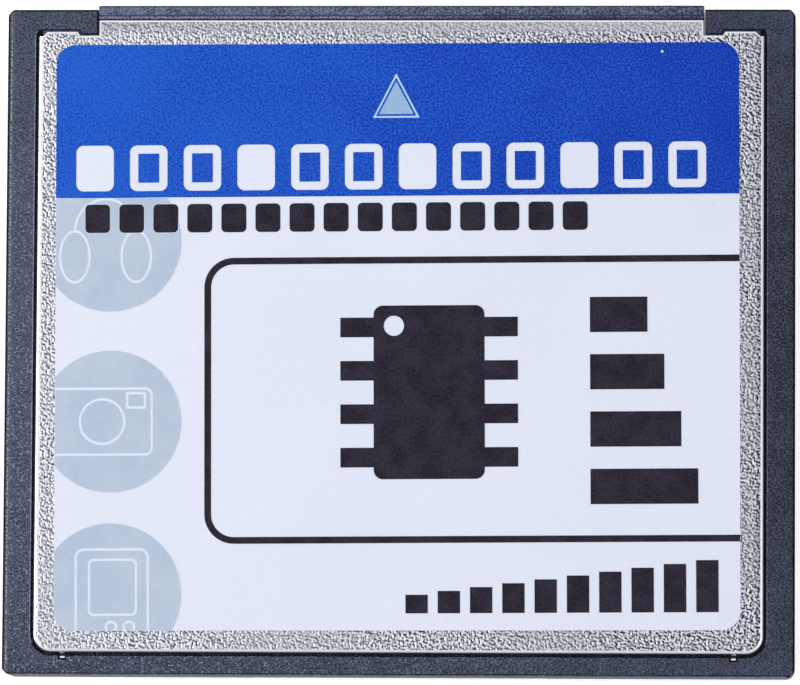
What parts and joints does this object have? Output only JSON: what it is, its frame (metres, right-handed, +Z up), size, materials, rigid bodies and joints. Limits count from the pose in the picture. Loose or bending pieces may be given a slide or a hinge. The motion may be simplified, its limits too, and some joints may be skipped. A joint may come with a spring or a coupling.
{
  "type": "flash memory card",
  "caption": "Flat memory card with a moulded frame, a textured steel panel on each broad face, a printed label and a two-row socket in one end.",
  "frame": {"origin": "on the resting surface, under the middle of the card's outline", "axes": "+X across the card, +Y towards the socket end that is pushed into a slot, +Z up out of the labelled face"},
  "size_m": [0.0428, 0.0364, 0.0033],
  "materials": {
    "frame_plastic": "dark slate grey moulded plastic, fine satin grain",
    "panel_steel": "stainless steel sheet with an embossed leather-like grain and a smooth rolled rim",
    "connector_plastic": "slate blue glass-filled plastic",
    "contact_gold": "gold-plated spring metal",
    "board_laminate": "green solder mask over glass laminate",
    "chip_moulding": "black moulding compound",
    "tinned_leads": "tin plating",
    "oscillator_ceramic": "ceramic",
    "oscillator_metal": "plated metal lid",
    "tantalum_case": "ochre moulding compound",
    "capacitor_ceramic": "brown ceramic",
    "resistor_coat": "black glaze",
    "label_white": "cool white film, satin",
    "ink_blue": "mid blue ink, satin",
    "ink_pale_blue": "pale blue ink",
    "ink_grey_blue": "pale grey-blue ink",
    "ink_black": "black ink"
  },
  "bodies": {
    "root": {"upper_frame": "frame_plastic", "lower_frame": "frame_plastic", "top_panel": "panel_steel", "bottom_panel": "panel_steel", "connector_housing": "connector_plastic", "upper_contacts": "contact_gold", "lower_contacts": "contact_gold", "circuit_board": "board_laminate", "controller_body": "chip_moulding", "controller_leads": "tinned_leads", "front_flash_body": "chip_moulding", "front_flash_leads": "tinned_leads", "back_flash_body": "chip_moulding", "back_flash_leads": "tinned_leads", "oscillator_base": "oscillator_ceramic", "oscillator_lid": "oscillator_metal", "regulator_body": "chip_moulding", "regulator_leads": "tinned_leads", "tantalum_capacitors": "tantalum_case", "tantalum_terminals": "tinned_leads", "ceramic_capacitors": "capacitor_ceramic", "ceramic_capacitor_ends": "tinned_leads", "chip_resistors": "resistor_coat", "chip_resistor_ends": "tinned_leads", "resistor_networks": "resistor_coat", "resistor_network_ends": "tinned_leads", "label_film": "label_white", "print_blue_field": "ink_blue", "print_arrow": "ink_pale_blue", "print_discs": "ink_grey_blue", "print_box_line": "ink_black", "print_dark_marks": "ink_black"}
  },
  "joints": []
}
